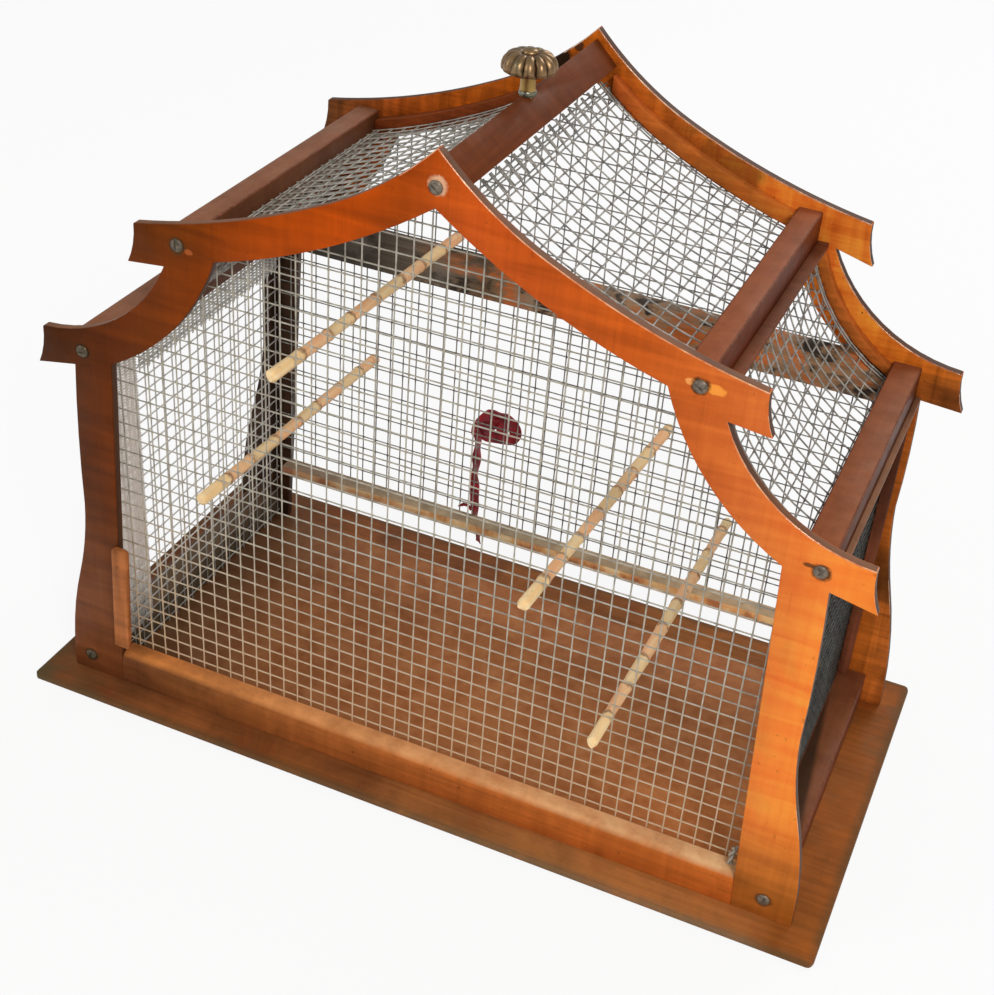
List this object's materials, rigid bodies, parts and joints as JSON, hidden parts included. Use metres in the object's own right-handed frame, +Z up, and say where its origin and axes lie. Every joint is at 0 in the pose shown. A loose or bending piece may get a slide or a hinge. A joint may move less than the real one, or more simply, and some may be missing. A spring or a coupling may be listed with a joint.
{
  "type": "wooden bird cage",
  "caption": "Free-standing wooden bird cage with a pagoda roof, fretwork end frames, wire mesh walls, loose twig perches, a rear tray slot and a fluted brass knob.",
  "frame": {"origin": "middle of the base board's underside", "axes": "+X along the front to the right, +Y to the back, +Z up"},
  "size_m": [0.3424, 0.1736, 0.284],
  "materials": {
    "base_wood": "worn varnish",
    "frame_wood": "aged gloss varnish",
    "bar_wood": "dark worn stain",
    "pale_wood": "worn stain",
    "mesh_wire": "dull tinned wire",
    "perch_wood": "bare twig",
    "aged_brass": "aged",
    "screw_steel": "dulled",
    "ribbon_fabric": "woven ribbon"
  },
  "bodies": {
    "cage": {"base_board": "base_wood", "front_bottom_rail": "frame_wood", "front_frame": "frame_wood", "rear_frame": "frame_wood", "ridge_bar": "bar_wood", "upper_left_bar": "bar_wood", "upper_right_bar": "bar_wood", "left_eave_bar": "bar_wood", "right_eave_bar": "bar_wood", "left_sill_bar": "bar_wood", "right_sill_bar": "bar_wood", "rear_cross_rail": "bar_wood", "rear_bottom_strip": "pale_wood", "front_upper_left_batten": "frame_wood", "front_upper_right_batten": "frame_wood", "front_lower_left_batten": "frame_wood", "front_lower_right_batten": "frame_wood", "rear_upper_left_batten": "frame_wood", "rear_upper_right_batten": "frame_wood", "rear_lower_left_batten": "frame_wood", "rear_lower_right_batten": "frame_wood", "front_left_corner_batten": "bar_wood", "front_right_corner_batten": "bar_wood", "rear_left_corner_batten": "bar_wood", "rear_right_corner_batten": "bar_wood", "upper_left_ledge": "pale_wood", "upper_right_ledge": "pale_wood", "left_eave_strip": "pale_wood", "right_eave_strip": "pale_wood", "front_mesh": "mesh_wire", "rear_mesh": "mesh_wire", "left_mesh": "mesh_wire", "right_mesh": "mesh_wire", "upper_left_roof_mesh": "mesh_wire", "upper_right_roof_mesh": "mesh_wire", "lower_left_roof_mesh": "mesh_wire", "lower_right_roof_mesh": "mesh_wire", "knob_stem": "aged_brass", "knob_cap": "aged_brass", "frame_screws": "screw_steel", "front_left_slip": "frame_wood", "front_wire_pin": "mesh_wire", "ribbon": "ribbon_fabric"},
    "perch_1": {"perch_1": "perch_wood"},
    "perch_2": {"perch_2": "perch_wood"},
    "perch_3": {"perch_3": "perch_wood"},
    "perch_4": {"perch_4": "perch_wood"}
  },
  "joints": [
    {"name": "perch_1_draw", "type": "slide", "parent": "cage", "child": "perch_1", "axis": [-0.0427, -0.999, 0.0142], "range_m": [0, 0.12]},
    {"name": "perch_2_draw", "type": "slide", "parent": "cage", "child": "perch_2", "axis": [0.0062, -0.998, 0.063], "range_m": [0, 0.12]},
    {"name": "perch_3_draw", "type": "slide", "parent": "cage", "child": "perch_3", "axis": [-0.0427, -0.999, 0.0142], "range_m": [0, 0.12]},
    {"name": "perch_4_draw", "type": "slide", "parent": "cage", "child": "perch_4", "axis": [-0.0426, -0.9956, -0.0832], "range_m": [0, 0.12]}
  ]
}
